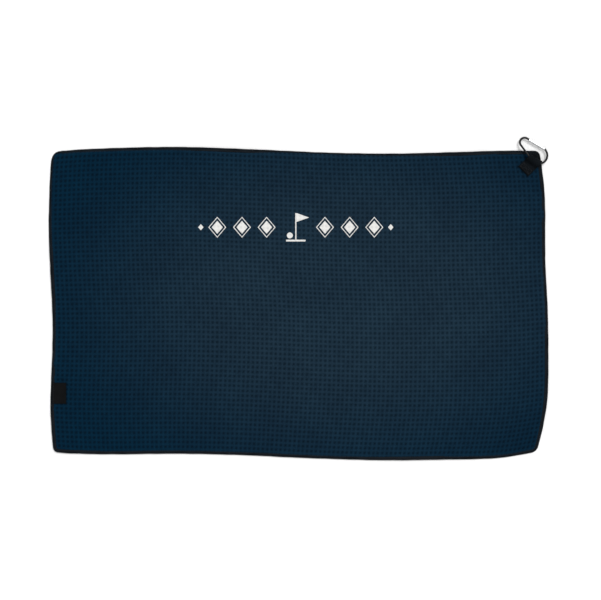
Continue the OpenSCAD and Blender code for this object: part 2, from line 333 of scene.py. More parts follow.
def closed_sheet(name, front, back):
    """Two grids of points, one over the other, closed round their border."""
    n, m = front.shape[:2]
    rim = border(np.arange(n * m).reshape(n, m))
    after = np.roll(rim, -1)
    faces = [grid_faces(n, m), grid_faces(n, m, n * m, flip=True),
             np.stack([rim, rim + n * m, after + n * m, after], axis=1)]
    return mesh_object(name, np.vstack([front.reshape(-1, 3), back.reshape(-1, 3)]), np.vstack(faces))


def woven_sheet(name, front, back, along, across):
    """A closed sheet whose points know their place along and across its weave."""
    obj = closed_sheet(name, front, back)
    place = np.zeros((2, *front.shape))
    place[..., 0], place[..., 1] = along, across
    add_point_vector(obj, "tape", place.reshape(-1, 3))
    bm = bmesh.new()
    bm.from_mesh(obj.data)
    bmesh.ops.recalc_face_normals(bm, faces=bm.faces)
    bm.to_mesh(obj.data)
    bm.free()
    return obj


def finish_piece(obj, body, material, nodes):
    """Puts a piece on its body in place of its CAD nodes. A piece that blends two bodies has body None."""
    if body:
        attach(obj, body)
    obj.data.materials.clear()
    obj.data.materials.append(material)
    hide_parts(*nodes)
    return obj


# ---------------------------------------------------------------- materials

def new_material(name):
    mat = bpy.data.materials.new(name)
    mat.use_nodes = True
    net = mat.node_tree
    shader = net.nodes["Principled BSDF"]
    coord = net.nodes.new("ShaderNodeTexCoord")
    return mat, net, shader, coord.outputs["Object"]


def noise(net, coord, scale, detail=4.0, rough=0.55):
    tex = net.nodes.new("ShaderNodeTexNoise")
    tex.inputs["Scale"].default_value = scale
    tex.inputs["Detail"].default_value = detail
    tex.inputs["Roughness"].default_value = rough
    net.links.new(coord, tex.inputs["Vector"])
    return tex.outputs["Fac"]


def ramp(net, fac, stops):
    r = net.nodes.new("ShaderNodeValToRGB")
    r.color_ramp.elements[0].position, r.color_ramp.elements[0].color = stops[0][0], (*stops[0][1], 1)
    r.color_ramp.elements[1].position, r.color_ramp.elements[1].color = stops[-1][0], (*stops[-1][1], 1)
    for pos, col in stops[1:-1]:
        e = r.color_ramp.elements.new(pos)
        e.color = (*col, 1)
    net.links.new(fac, r.inputs["Fac"])
    return r.outputs["Color"]


def maths(net, operation, a, b=None, c=None):
    m = net.nodes.new("ShaderNodeMath")
    m.operation = operation
    for socket, value in zip(m.inputs, (a, b, c)):
        if value is None:
            continue
        if isinstance(value, (int, float)):
            socket.default_value = value
        else:
            net.links.new(value, socket)
    return m.outputs[0]


def bump(net, shader, height, strength, distance):
    b = net.nodes.new("ShaderNodeBump")
    b.inputs["Strength"].default_value = strength
    b.inputs["Distance"].default_value = distance
    net.links.new(height, b.inputs["Height"])
    net.links.new(b.outputs["Normal"], shader.inputs["Normal"])


def mix_colour(net, fac, a, b, blend="MIX"):
    m = net.nodes.new("ShaderNodeMix")
    m.data_type, m.blend_type = "RGBA", blend
    for socket, value in ((m.inputs[0], fac), (m.inputs[6], a), (m.inputs[7], b)):
        if isinstance(value, float):
            socket.default_value = value
        elif isinstance(value, tuple):
            socket.default_value = (*value, 1)
        else:
            net.links.new(value, socket)
    return m.outputs[2]


BAND = 2 * math.pi / 20


def wave(net, coord, period, direction="X", distortion=0.0, detail_scale=1.0):
    """Bands of that period in metres. BAND is the texture's own period at scale 1."""
    w = net.nodes.new("ShaderNodeTexWave")
    w.bands_direction = direction
    w.inputs["Scale"].default_value = BAND / period
    w.inputs["Distortion"].default_value = distortion
    w.inputs["Detail Scale"].default_value = detail_scale
    net.links.new(coord, w.inputs["Vector"])
    return w.outputs["Fac"]


def attribute(net, name):
    a = net.nodes.new("ShaderNodeAttribute")
    a.attribute_name = name
    return a


YARN = 0.75 * MM


def waffle_material(name, ridge, pit, dim_ridge, dim_pit):
    """Navy microfibre: the pits painted darker than the ridges as shade, and a painted light falloff that
    leaves the left and the edges darker and bluer, with fine loops and a soft sheen.
    """
    mat, net, shader, coord = new_material(name)
    relief = attribute(net, "relief").outputs["Fac"]
    # painted light falloff: the shade attribute is 1 where the light is brightest, centre right, and 0
    # towards the edges
    falloff = attribute(net, "shade").outputs["Fac"]
    grain = noise(net, coord, 1400, 3, 0.7)
    patches = noise(net, coord, 14, 3)
    warp, weft = (wave(net, coord, YARN, way, 2.5, 3.0) for way in "XY")
    yarns = maths(net, "ADD", warp, weft)
    fibre = maths(net, "ADD", maths(net, "MULTIPLY", yarns, 0.22), grain)
    tone = maths(net, "ADD", relief, maths(net, "MULTIPLY", maths(
        net, "SUBTRACT", fibre, 0.72), 1.5))
    # painted shade: the tone follows the relief, so the pits take the darker pit colours
    right = ramp(net, tone, [(0.0, pit), (0.95, ridge)])
    left = ramp(net, tone, [(0.0, dim_pit), (0.95, dim_ridge)])
    # painted light falloff: mixes the dim, bluer colours at the edges with the lit ones in the middle
    base = mix_colour(net, falloff, left, right)
    worn = ramp(net, patches, [(0.3, (0.86, 0.86, 0.88)), (0.7, (1.1, 1.09, 1.07))])
    net.links.new(mix_colour(net, 1.0, base, worn, "MULTIPLY"), shader.inputs["Base Color"])
    net.links.new(maths(net, "MULTIPLY_ADD", grain, 0.2, 0.78), shader.inputs["Roughness"])
    shader.inputs["Specular IOR Level"].default_value = 0.035
    shader.inputs["Sheen Weight"].default_value = 0.015
    shader.inputs["Sheen Roughness"].default_value = 0.6
    shader.inputs["Sheen Tint"].default_value = (0.55, 0.72, 0.9, 1)
    loops = maths(net, "ADD", grain, noise(net, coord, 2600, 2))
    knit = maths(net, "MULTIPLY", warp, weft)
    bump(net, shader, maths(net, "ADD", loops, knit), 0.8, 0.4 * MM)
    return mat


def tape_material(name, dark, light, pitch, rough=0.72, strength=0.6):
    """Woven tape: ribs across its length, broken up by a twill and by loose fibre."""
    mat, net, shader, coord = new_material(name)
    place = attribute(net, "tape").outputs["Vector"]
    rib = wave(net, place, pitch, "X", 1.0, 2.0)
    twill = wave(net, place, 1.25 * pitch, "DIAGONAL", 0.8, 2.0)
    weave = maths(net, "MULTIPLY", maths(net, "ADD", rib, twill), 0.5)
    fluff = noise(net, coord, 2600, 3, 0.7)
    worn = noise(net, coord, 60, 3)
    tone = maths(net, "MULTIPLY", maths(net, "ADD", weave, fluff), maths(
        net, "ADD", worn, 0.1))
    net.links.new(ramp(net, tone, [(0.25, dark), (0.8, light)]), shader.inputs["Base Color"])
    net.links.new(maths(net, "MULTIPLY_ADD", fluff, 0.2, rough - 0.1), shader.inputs["Roughness"])
    shader.inputs["Specular IOR Level"].default_value = 0.04
    bump(net, shader, maths(net, "ADD", weave, maths(
        net, "MULTIPLY", fluff, 0.35)), strength, 0.16 * MM)
    return mat


def thread_material():
    """Black polyester thread with its twist."""
    mat, net, shader, coord = new_material("sewing_thread")
    fibres = noise(net, coord, 5200, 2, 0.6)
    uneven = noise(net, coord, 240, 2)
    net.links.new(ramp(net, maths(net, "MULTIPLY", fibres, maths(
        net, "ADD", uneven, 0.5)), [(0.2, (0.003, 0.0035, 0.005)), (0.8, (0.016, 0.018, 0.022))]),
        shader.inputs["Base Color"])
    shader.inputs["Specular IOR Level"].default_value = 0.2
    net.links.new(ramp(net, fibres, [(0.3, (0.42,) * 3), (0.8, (0.62,) * 3)]),
              shader.inputs["Roughness"])
    bump(net, shader, fibres, 0.5, 0.06 * MM)
    return mat


def print_material():
    """Off-white ink on the waffle, greyer in the pits as painted shade."""
    mat, net, shader, coord = new_material("print_ink")
    relief = attribute(net, "relief").outputs["Fac"]
    grain = noise(net, coord, 1500, 4, 0.7)
    tone = maths(net, "ADD", relief, maths(net, "MULTIPLY", maths(
        net, "SUBTRACT", grain, 0.5), 0.9))
    # painted shade: the ink is greyer where the waffle's relief is low, in the pits
    net.links.new(ramp(net, tone, [(0.0, (0.52, 0.53, 0.54)), (0.35, (0.67, 0.665, 0.645)),
                                         (1.0, (0.73, 0.725, 0.70))]), shader.inputs["Base Color"])
    net.links.new(maths(net, "MULTIPLY_ADD", grain, 0.2, 0.6), shader.inputs["Roughness"])
    shader.inputs["Specular IOR Level"].default_value = 0.2
    bump(net, shader, grain, 0.4, 0.12 * MM)
    return mat


def anodised_material():
    """Black anodised aluminium with fine draw marks, rubbed a little on its raised edges."""
    mat, net, shader, coord = new_material("black_anodised")
    fine = noise(net, coord, 2400, 3, 0.6)
    cloud = noise(net, coord, 180, 3)
    geo = net.nodes.new("ShaderNodeNewGeometry")
    rub = ramp(net, geo.outputs["Pointiness"], [(0.52, (0.0,) * 3), (0.62, (0.5,) * 3)])
    rubbed = maths(net, "MULTIPLY", rub, maths(net, "GREATER_THAN", cloud, 0.52))
    body = ramp(net, cloud, [(0.3, (0.003, 0.003, 0.0035)), (0.7, (0.006, 0.006, 0.007))])
    net.links.new(mix_colour(net, rubbed, body, (0.04, 0.04, 0.042)), shader.inputs["Base Color"])
    net.links.new(ramp(net, maths(net, "MULTIPLY", maths(
        net, "ADD", fine, cloud), 0.5), [(0.3, (0.26,) * 3), (0.7, (0.4,) * 3)]),
        shader.inputs["Roughness"])
    shader.inputs["Specular IOR Level"].default_value = 0.14
    shader.inputs["Coat Weight"].default_value = 0.03
    shader.inputs["Coat Roughness"].default_value = 0.25
    bump(net, shader, fine, 0.08, 0.03 * MM)
    return mat


def bright_metal_material(name, low, high, rough_low, rough_high, heading):
    """Bare metal with lengthwise draw lines, small scratches and dulled patches."""
    mat, net, shader, coord = new_material(name)
    turn = net.nodes.new("ShaderNodeMapping")
    turn.inputs["Rotation"].default_value = (0, 0, -heading)
    turn.inputs["Scale"].default_value = (1.0, 14.0, 14.0)
    net.links.new(coord, turn.inputs["Vector"])
    lines = noise(net, turn.outputs["Vector"], 420, 4, 0.65)
    cloud = noise(net, coord, 260, 3)
    tone = maths(net, "MULTIPLY", maths(net, "ADD", lines, cloud), 0.5)
    net.links.new(ramp(net, tone, [(0.3, low), (0.7, high)]), shader.inputs["Base Color"])
    net.links.new(ramp(net, tone, [(0.3, (rough_low,) * 3), (0.7, (rough_high,) * 3)]),
              shader.inputs["Roughness"])
    shader.inputs["Metallic"].default_value = 1.0
    bump(net, shader, lines, 0.12, 0.03 * MM)
    return mat


# ---------------------------------------------------------------- the waffle cloth

def waffle(phase_s, phase_t, sharp):
    """Relief of the waffle from 0 in a pit to 1 on the crossing of two ridges."""
    a = np.abs(np.cos(np.pi * phase_s)) ** sharp
    b = np.abs(np.cos(np.pi * phase_t)) ** sharp
    return np.clip(np.maximum(a, b) * 0.82 + 0.18 * a * b, 0, 1)


def inside_distance(points):
    """How far each point is inside the outline, negative outside, and the nearest edge point's index."""
    tree = KDTree(len(EDGE))
    for i, e in enumerate(EDGE):
        tree.insert((e[0], e[1], 0), i)
    tree.balance()
    near = np.array([tree.find((p[0], p[1], 0))[1] for p in points])
    return ((points - EDGE[near]) * EDGE_IN[near]).sum(axis=1), near


CELL_STEPS = 5  # mesh squares across one cell of the waffle
EDGE_ROWS = 18  # rows of squares along the edge that are measured against the outline
TUCK = 0.8 * MM  # how far inside the binding's fold the cloth's edge stops
HALF_CLOTH = 0.45 * MM
FRONT_RELIEF, FRONT_DROP, FRONT_SHARP = 1.15 * MM, 0.35 * MM, 1.9
BACK_RELIEF, BACK_SHARP = 0.5 * MM, 1.3
LOWEST = 0.02 * MM


def hem_profile(d):
    """The cloth's middle height at a distance d inside the edge, and how far it has opened out there."""
    open_share = smooth_step((d - (BINDING_W - 1.2 * MM)) / (2.2 * MM))
    middle = 1.1 * MM + (1.0 * MM - 1.1 * MM) * open_share
    return middle, open_share


def cloth_plan(ns, nt):
    """The cloth's points in plan, tucked into the binding, and how far inside the outline each one is."""
    flat = patch_grid(ns, nt).reshape(-1, 2)
    edge_cells = np.zeros((ns + 1, nt + 1), bool)
    edge_cells[:EDGE_ROWS] = edge_cells[-EDGE_ROWS:] = True
    edge_cells[:, :EDGE_ROWS] = edge_cells[:, -EDGE_ROWS:] = True
    who = np.flatnonzero(edge_cells.ravel())
    inside, near = inside_distance(flat[who])
    depth = np.full(len(flat), 1.0)
    depth[who] = inside
    out = inside < TUCK
    flat[who[out]] = EDGE[near[out]] + EDGE_IN[near[out]] * TUCK
    depth[who[out]] = TUCK
    return flat, depth


def build_cloth(settled):
    """The waffle-woven cloth, with its pits and ridges on both sides and a pressed hem."""
    ns, nt = CELLS[0] * CELL_STEPS, CELLS[1] * CELL_STEPS
    fx = np.linspace(0, settled.shape[0] - 1, ns + 1)
    fy = np.linspace(0, settled.shape[1] - 1, nt + 1)
    lift = cubic_rows(cubic_rows(settled, fx).T, fy).T.ravel()
    flat, depth = cloth_plan(ns, nt)
    s = np.arange(ns + 1)[:, None] / CELL_STEPS
    t = np.arange(nt + 1)[None, :] / CELL_STEPS
    relief = waffle(s, t, FRONT_SHARP)
    wobble = 0.12 * np.sin(s * 1.7 + 0.4 * np.sin(t * 0.9)) * np.sin(t * 1.3 + 1.0)
    jitter = rng.normal(0, 0.05, relief.shape)
    front = np.clip(relief * (1 + wobble) + jitter, 0, 1.15).ravel()
    back = np.clip(waffle(s + 0.5, t + 0.5, BACK_SHARP) * (1 + wobble) + jitter, 0, 1.1).ravel()
    middle, open_share = hem_profile(depth)
    z_front = middle + HALF_CLOTH + lift + open_share * (front * FRONT_RELIEF - FRONT_DROP)
    z_back = np.maximum(middle - HALF_CLOTH + lift - open_share * (back * BACK_RELIEF), LOWEST)
    layers = [np.column_stack([flat, z]).reshape(ns + 1, nt + 1, 3) for z in (z_front, z_back)]
    obj = closed_sheet("waffle_towel", *layers)
    # relief also drives the painted shade in the pits, in the cloth's colour and in the print's
    add_point_value(obj, "relief", np.concatenate([front, back]))
    x, y = np.vstack([flat, flat]).T
    # painted light falloff: 1 in a lit oval round the middle right, falling to 0 at the edges, most at the
    # left
    away = np.hypot((x - 0.06) / 0.40, (y - 0.01) / 0.27)
    add_point_value(obj, "shade", smooth_step((1.12 - away) / 0.85))
    return obj


def cubic_rows(values, f):
    """Values interpolated smoothly along the first axis at fractional rows f."""
    n = len(values)
    i = np.clip(f.astype(int), 0, n - 2)
    t = (f - i)[:, None]
    before, after = values[np.maximum(i - 1, 0)], values[np.minimum(i + 2, n - 1)]
    return cubic(before, values[i], values[i + 1], after, t)


def edge_lift(settled):
    """The height of the cloth's edge at each point of EDGE."""
    nx, ny = settled.shape[0] - 1, settled.shape[1] - 1
    ring, z = border(patch_grid(nx, ny)), border(settled)
    out = np.empty(len(EDGE))
    for k, e in enumerate(EDGE):
        g = np.argsort(((ring - e) ** 2).sum(axis=1))[:2]
        w = 1 / (np.linalg.norm(ring[g] - e, axis=1) + 1e-5)
        out[k] = (z[g] * w).sum() / w.sum()
    kernel = np.ones(9) / 9
    return np.convolve(np.concatenate([out[-4:], out, out[:4]]), kernel, "valid")


# ---------------------------------------------------------------- binding and seams

def binding_profile():
    """The U of the folded tape in section: distance in from the edge and height, going round it."""
    r = BINDING_TOP / 2
    top = BINDING_TOP
    outer_top = [(BINDING_W, top - 0.30 * MM), (BINDING_W - 0.15 * MM, top - 0.05 * MM),
                 (BINDING_W - 0.6 * MM, top), (SEAM_IN + 0.25 * MM, top - 0.04 * MM),
                 (SEAM_IN, top - 0.12 * MM), (SEAM_IN - 0.25 * MM, top - 0.04 * MM),
                 (SEAM_IN - 0.8 * MM, top), (2.0 * MM, top)]
    nose = [(r - r * math.sin(a) * 0.98, r + r * math.cos(a)) for a in np.linspace(0.25, math.pi - 0.25, 8)]
    outer_bottom = [(x, top - z) for x, z in outer_top[::-1]]
    inner = [(BINDING_W - 0.1 * MM, TAPE_T - 0.05 * MM), (3.4 * MM, TAPE_T + 0.02 * MM),
             (TAPE_T + 0.25 * MM, TAPE_T + 0.1 * MM), (TAPE_T + 0.05 * MM, r),
             (TAPE_T + 0.25 * MM, top - TAPE_T - 0.1 * MM), (3.4 * MM, top - TAPE_T - 0.02 * MM),
             (BINDING_W - 0.1 * MM, top - TAPE_T + 0.05 * MM)]
    return np.array(outer_top + nose + outer_bottom + inner)


STITCH_PITCH = 3.1 * MM


def build_binding(lift):
    """The folded tape, swept all round the towel, with a slight pucker at each stitch."""
    n = len(EDGE)
    profile = binding_profile()
    along = np.arange(n) * 1.0 * MM
    pucker = 0.07 * MM * np.cos(2 * np.pi * along / STITCH_PITCH)
    ripple = 0.12 * MM * np.sin(along * 210) * np.sin(along * 57 + 1)
    rings = []
    for d, z in profile:
        outer = smooth_step(1 - d / (2 * MM))
        on_seam = np.exp(-((d - SEAM_IN) / (0.9 * MM)) ** 2)
        side = 1 if z > BINDING_TOP / 2 else -1
        dz = side * pucker * on_seam
        p = EDGE + EDGE_IN * (d + ripple * outer)[:, None]
        height = np.maximum(z + lift + dz, LOWEST)
        rings.append(np.column_stack([p, height]))
    verts = np.stack(rings, axis=1).reshape(-1, 3)
    obj = mesh_object("binding_tape", verts, loop_faces(n, len(profile)))
    place = np.zeros((n, len(profile), 3))
    place[..., 0] = along[:, None]
    place[..., 1] = run_length(profile)[None, :]
    add_point_vector(obj, "tape", place.reshape(-1, 3))
    return obj


def stitch_tubes(starts, ends, ups, radius, sink, rings=7, sides=6):
    """Separate stitches, each a short arched thread from start to end whose ends dive into the cloth."""
    starts, ends, ups = (np.asarray(a, float) for a in (starts, ends, ups))
    k = len(starts)
    t = np.linspace(0, 1, rings)
    run = ends - starts
    length = np.linalg.norm(run, axis=1)[:, None]
    run_dir = run / length
    side_dir = np.cross(run_dir, ups)
    arch = np.clip(1 - (2 * t - 1) ** 6, 0, 1)
    rise = (radius * 0.75 + sink) * arch - sink
    centre = (starts[:, None] + run[:, None] * t[None, :, None]
              + ups[:, None] * rise[None, :, None])
    ang = np.linspace(0, 2 * np.pi, sides, endpoint=False)
    swell = radius * (0.82 + 0.18 * np.sin(np.pi * t))
    ring = (side_dir[:, None, None] * np.cos(ang)[None, None, :, None]
            + ups[:, None, None] * np.sin(ang)[None, None, :, None])
    verts = centre[:, :, None] + ring * swell[None, :, None, None]
    one = loop_faces(rings, sides, closed=False)
    faces = (one[None] + (np.arange(k) * rings * sides)[:, None, None]).reshape(-1, 4)
    cap = np.array([[0, 1, 2, 3], [0, 3, 4, 5]])
    far = (rings - 1) * sides + np.array([[3, 2, 1, 0], [5, 4, 3, 0]])
    caps = (np.vstack([cap, far])[None] + (np.arange(k) * rings * sides)[:, None, None]).reshape(-1, 4)
    return verts.reshape(-1, 3), np.vstack([faces, caps])


def seam_points(lift):
    """Where the needle goes through, all round the binding."""
    ring = EDGE + EDGE_IN * SEAM_IN
    line = np.column_stack([ring, lift])
    return resample(line, STITCH_PITCH, closed=True)


def build_seam(name, lift, top):
    """A lockstitch seam all round. It climbs over the strap's patch and the label, which it holds."""
    p = seam_points(lift)
    q = np.roll(p, -1, axis=0)
    gap = 0.06
    start, end = p + (q - p) * gap, q - (q - p) * gap
    up = np.array([0, 0, 1.0 if top else -1.0])
    radius = 0.17 * MM
    for a in (start, end):
        a[:, 2] += BINDING_TOP - 0.06 * MM + raised(a[:, 0], a[:, 1]) if top else 0.30 * MM
    verts, faces = stitch_tubes(start, end, np.tile(up, (len(p), 1)), radius, 0.25 * MM)
    if not top:
        verts[:, 2] = np.maximum(verts[:, 2], 0.01 * MM)
    return mesh_object(name, verts, faces)


def in_strip(x, y, margin=0.0):
    """True where a point in plan lies under the corner strap's patch."""
    d = np.array([math.cos(STRAP_HEADING), math.sin(STRAP_HEADING)])
    dx, dy = x - SWING_AT[0], y - SWING_AT[1]
    s, c = dx * d[0] + dy * d[1], -dx * d[1] + dy * d[0]
    return (s > -STRAP_REACH - margin) & (np.abs(c) < STRAP_W / 2 + margin)


LABEL_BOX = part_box("care_label")
LABEL_TAIL = 2.6 * MM


def raised(x, y):
    """What the upper seam climbs over, above the binding: the label's tail and the corner patch."""
    on_label = ((y > LABEL_BOX[0][1] - 0.3 * MM) & (y < LABEL_BOX[1][1] + 0.3 * MM)
                & (x < LABEL_BOX[1][0]) & (x > LABEL_BOX[0][0] - 2 * LABEL_TAIL))
    return np.where(on_label, 0.86 * MM, 0) + np.where(in_strip(x, y), PATCH_TOP - BINDING_TOP, 0)


# ---------------------------------------------------------------- the corner strap

def strap_frame(s, c, z):
    """A point in the strap's own frame: s out along it, c across it, z up."""
    h = STRAP_HEADING
    x = SWING_AT[0] + s * math.cos(h) - c * math.sin(h)
    y = SWING_AT[1] + s * math.sin(h) + c * math.cos(h)
    return np.stack([x, y, z], axis=-1)


WEAVE_PITCH = 1.5 * MM


def herringbone(u, v):
    """The rise and fall of a herringbone weave, from -1 to 1, at u along it and v across it."""
    fold = np.abs(((v / WEAVE_PITCH + 0.5) % 1.0) - 0.5) * 2
    return np.sin(2 * np.pi * (u / (WEAVE_PITCH * 1.1) + fold * 0.5))


def ribbon(path, normals, skew, pull, width, thick, name, ridges=0.05 * MM):
    """A closed webbing ribbon: path is its centreline in (s, z), swept across c, with a woven relief.
    pull draws its one edge in, where the wire bends away."""
    across = np.linspace(-width / 2, width / 2, int(width / (0.45 * MM)) | 1)
    run = run_length(path)
    u, v = run[:, None], across[None, :]
    edge = smooth_step((width / 2 - np.abs(across)) / (0.8 * MM))[None, :]
    relief = ridges * herringbone(u, v) * edge
    half = thick / 2 * (0.45 + 0.55 * np.sqrt(np.clip(1 - (1 - edge) ** 2, 0, 1)))
    layers = []
    for side in (1, -1):
        off = side * (half + relief)
        s = path[:, 0][:, None] + normals[:, 0][:, None] * off + skew[:, None] * v
        z = path[:, 1][:, None] + normals[:, 1][:, None] * off
        drawn_in = pull[:, None] * smooth_step((-v - 4 * MM) / (5.5 * MM))
        layers.append(strap_frame(s, v + drawn_in, z))
    return woven_sheet(name, *layers, u, v), float(run[-1])


def strap_path():
    """The webbing's centreline: along the patch, round the carabiner's wire, back down to the stitching."""
    low = PATCH_TOP + STRAP_T / 2 + 0.02 * MM
    high = low + STRAP_T + 0.04 * MM
    r = LOOP_R + STRAP_T / 2
    centre = SWING_AT[2]
    bottom = np.column_stack([np.linspace(-STRAP_REACH, -2.5 * MM, 40), np.full(40, low)])
    blend_in = np.array([(-2.5 * MM, low)])
    ang = np.linspace(-math.pi / 2 + 0.25, math.pi / 2 + 0.55, 70)
    loop = np.column_stack([r * np.cos(ang), np.maximum(centre + r * np.sin(ang), low)])
    end = loop[-1]
    tangent = np.array([-math.sin(ang[-1]), math.cos(ang[-1])])
    foot = np.array([-STRAP_REACH + 9.5 * MM, high])
    t = np.linspace(0, 1, 30)[1:, None]
    k = 5.5 * MM
    ramp_run = ((1 - t) ** 3 * end + 3 * t * (1 - t) ** 2 * (end + tangent * k)
                + 3 * t ** 2 * (1 - t) * (foot + np.array([k, 0])) + t ** 3 * foot)
    flat_end = np.column_stack([np.linspace(foot[0], -STRAP_REACH, 24)[1:], np.full(23, high)])
    line = np.vstack([bottom, blend_in, loop, ramp_run, flat_end])
    line = resample(line, 0.4 * MM)
    for _ in range(6):
        line[1:-1] = 0.5 * line[1:-1] + 0.25 * (line[:-2] + line[2:])
    return line


def path_normals(path):
    """Unit normals to the left of a line."""
    t = np.gradient(path, axis=0)
    t /= np.linalg.norm(t, axis=1)[:, None]
    return np.stack([-t[:, 1], t[:, 0]], axis=1)


def build_strap():
    """The webbing loop. It turns from the strap's heading to the carabiner's swing axis."""
    path = strap_path()
    normals = path_normals(path)
    turn = math.atan2(SWING_AXIS[1], SWING_AXIS[0]) + math.radians(90) - STRAP_HEADING
    skewed = smooth_step((path[:, 0] + STRAP_REACH - 8 * MM) / (9 * MM))
    skew = -math.tan(turn) * skewed
    pull = 0.9 * MM * smooth_step((path[:, 0] + 1 * MM) / (3 * MM))
    return ribbon(path, normals, skew, pull, STRAP_W, STRAP_T, "carabiner_webbing")


def patch_tip(c):
    """How far out along the strap the towel's corner reaches, at c across it."""
    along = np.array([math.cos(STRAP_HEADING), math.sin(STRAP_HEADING)])
    across = np.array([-along[1], along[0]])
    rel = EDGE + EDGE_IN * 0.55 * MM - SWING_AT[:2]
    s, v = rel @ along, rel @ across
    keep = (np.abs(v) < 60 * MM) & (s > -STRAP_REACH)
    order = np.argsort(v[keep])
    return np.interp(c, v[keep][order], s[keep][order])


def build_patch():
    """Tape laid flat on the corner, trimmed to the towel's edge, with rows that run along the strap."""
    across = np.linspace(-STRAP_W / 2, STRAP_W / 2, 43)
    tip = patch_tip(across)
    start = -STRAP_REACH - 0.6 * MM
    s = start + (tip[None, :] - start) * np.linspace(0, 1, 90)[:, None]
    v = np.broadcast_to(across[None, :], s.shape)
    relief = 0.03 * MM * herringbone(s, v)
    rim_d = np.minimum(STRAP_W / 2 - np.abs(v), np.minimum(s - start, tip[None, :] - s))
    edge = smooth_step(rim_d / (0.7 * MM))
    plan = strap_frame(s, v, np.zeros_like(s))[..., :2]
    inside, _ = inside_distance(plan.reshape(-1, 2))
    on_binding = smooth_step((BINDING_W + 0.6 * MM - inside.reshape(s.shape)) / (1.2 * MM))
    top = PATCH_TOP - 0.22 * MM * (1 - edge) + relief * edge - (1 - on_binding) * 0.12 * MM
    low = np.minimum(top - 0.2 * MM, BINDING_TOP - 0.1 * MM)
    upper, lower = (np.concatenate([plan, z[..., None]], axis=-1) for z in (top, low))
    return woven_sheet("corner_tape_patch", upper, lower, s, v)


def stitch_row(a, b, pitch):
    """Stitch starts and ends along a straight line in the strap's frame."""
    a, b = np.array(a), np.array(b)
    length = np.linalg.norm(b - a)
    k = max(int(round(length / pitch)), 2)
    t = np.arange(k) / k
    gap = 0.07 / k
    return a + (b - a) * (t[:, None] + gap), a + (b - a) * (t[:, None] + 1 / k - gap)


def build_strap_stitches():
    """A sewn box with a cross through the strap, and rows along the patch's edges and end."""
    near, far = -STRAP_REACH + 1.5 * MM, -STRAP_REACH + 8.2 * MM
    w = STRAP_W / 2 - 1.8 * MM
    top = PATCH_TOP + 2 * STRAP_T + 0.06 * MM
    box = [((near, -w), (far, -w)), ((far, -w), (far, w)), ((far, w), (near, w)), ((near, w), (near, -w)),
           ((near, -w), (far, w)), ((far, -w), (near, w))]
    rows = [(a, b, 2.0 * MM, top) for a, b in box]
    side = STRAP_W / 2 - 0.9 * MM
    for c in (-side, side):
        tip = patch_tip(c) - BINDING_W - 0.4 * MM
        rows.append(((tip, c), (tip - 8.8 * MM, c), 2.2 * MM, PATCH_TOP - 0.02 * MM))
    starts, ends = [], []
    for a, b, pitch, level in rows:
        for points, places in zip(stitch_row(a, b, pitch), (starts, ends)):
            places.append(strap_frame(points[:, 0], points[:, 1], np.full(len(points), level)))
    starts, ends = np.vstack(starts), np.vstack(ends)
    up = np.tile([0, 0, 1.0], (len(starts), 1))
    verts, faces = stitch_tubes(starts, ends, up, 0.2 * MM, 0.2 * MM)
    return mesh_object("strap_box_stitching", verts, faces)


# ---------------------------------------------------------------- the label

def label_path(x0, x_fold, level):
    """A folded label from the side: in from the seam, round the fold and back, a little open."""
    gap = 0.34 * MM
    n = 60
    x = np.linspace(x0, x_fold, n)
    u = (x - x0) / (x_fold - x0)
    curl = 0.35 * MM * u ** 2
    lower = np.column_stack([x, level + curl])
    a = np.linspace(-math.pi / 2, math.pi / 2, 12)[1:-1]
    open_up = gap * (0.5 + 0.25)
    fold = np.column_stack([x_fold + open_up * np.cos(a), level + curl[-1] + open_up + open_up * np.sin(a)])
    belly = 0.16 * MM * np.sin(np.pi * u) ** 2
    rise = gap + (2 * open_up - gap) * smooth_step((u - 0.6) / 0.4)
    upper = np.column_stack([x, level + curl + rise + belly])[::-1]
    return np.vstack([lower, fold, upper])


def build_label():
    """A folded strip of satin tape, sewn down by the binding's own seam."""
    low, high = LABEL_BOX
    x_fold = high[0] - 0.5 * MM
    level = low[2] + 0.02 * MM
    path = resample(label_path(low[0] - LABEL_TAIL, x_fold, level), 0.3 * MM)
    normals = path_normals(path)
    width = high[1] - low[1]
    middle = (low[1] + high[1]) / 2
    across = np.linspace(-width / 2, width / 2, 57)
    thick = 0.22 * MM
    run = run_length(path)
    ribs = 0.012 * MM * np.sin(2 * np.pi * across / (0.9 * MM))[None, :]
    layers = []
    for side in (1, -1):
        off = side * (thick / 2) + ribs
        x = path[:, 0][:, None] + normals[:, 0][:, None] * off
        z = path[:, 1][:, None] + normals[:, 1][:, None] * off
        y = np.broadcast_to(middle + across[None, :], x.shape)
        layers.append(np.stack([x, y, z], axis=-1))
    obj = woven_sheet("folded_label", *layers, run[:, None], across[None, :])
    return obj, float(run[-1]), width


# ---------------------------------------------------------------- the printed motif

INK_LIFT = 0.10 * MM
INK_STEP = 0.8 * MM  # the size of the print's triangles
POLE_HALF = 0.8 * MM
FLAG_L, FLAG_H = 17 * MM, 12 * MM
GREEN_HALF, GREEN_H = 13 * MM, 2.4 * MM
BALL_AT, BALL_R = (-8 * MM, 8 * MM), 4 * MM  # the ball's centre, from the pole's foot
DIAMOND_L, DIAMOND_SHARE = 24 * MM, 0.74  # its height is that share of the motif's
DIAMOND_START, DIAMOND_STEP, END_STEP = 39, 33, 22  # along the row, in millimetres
LINE = 1.2 * MM


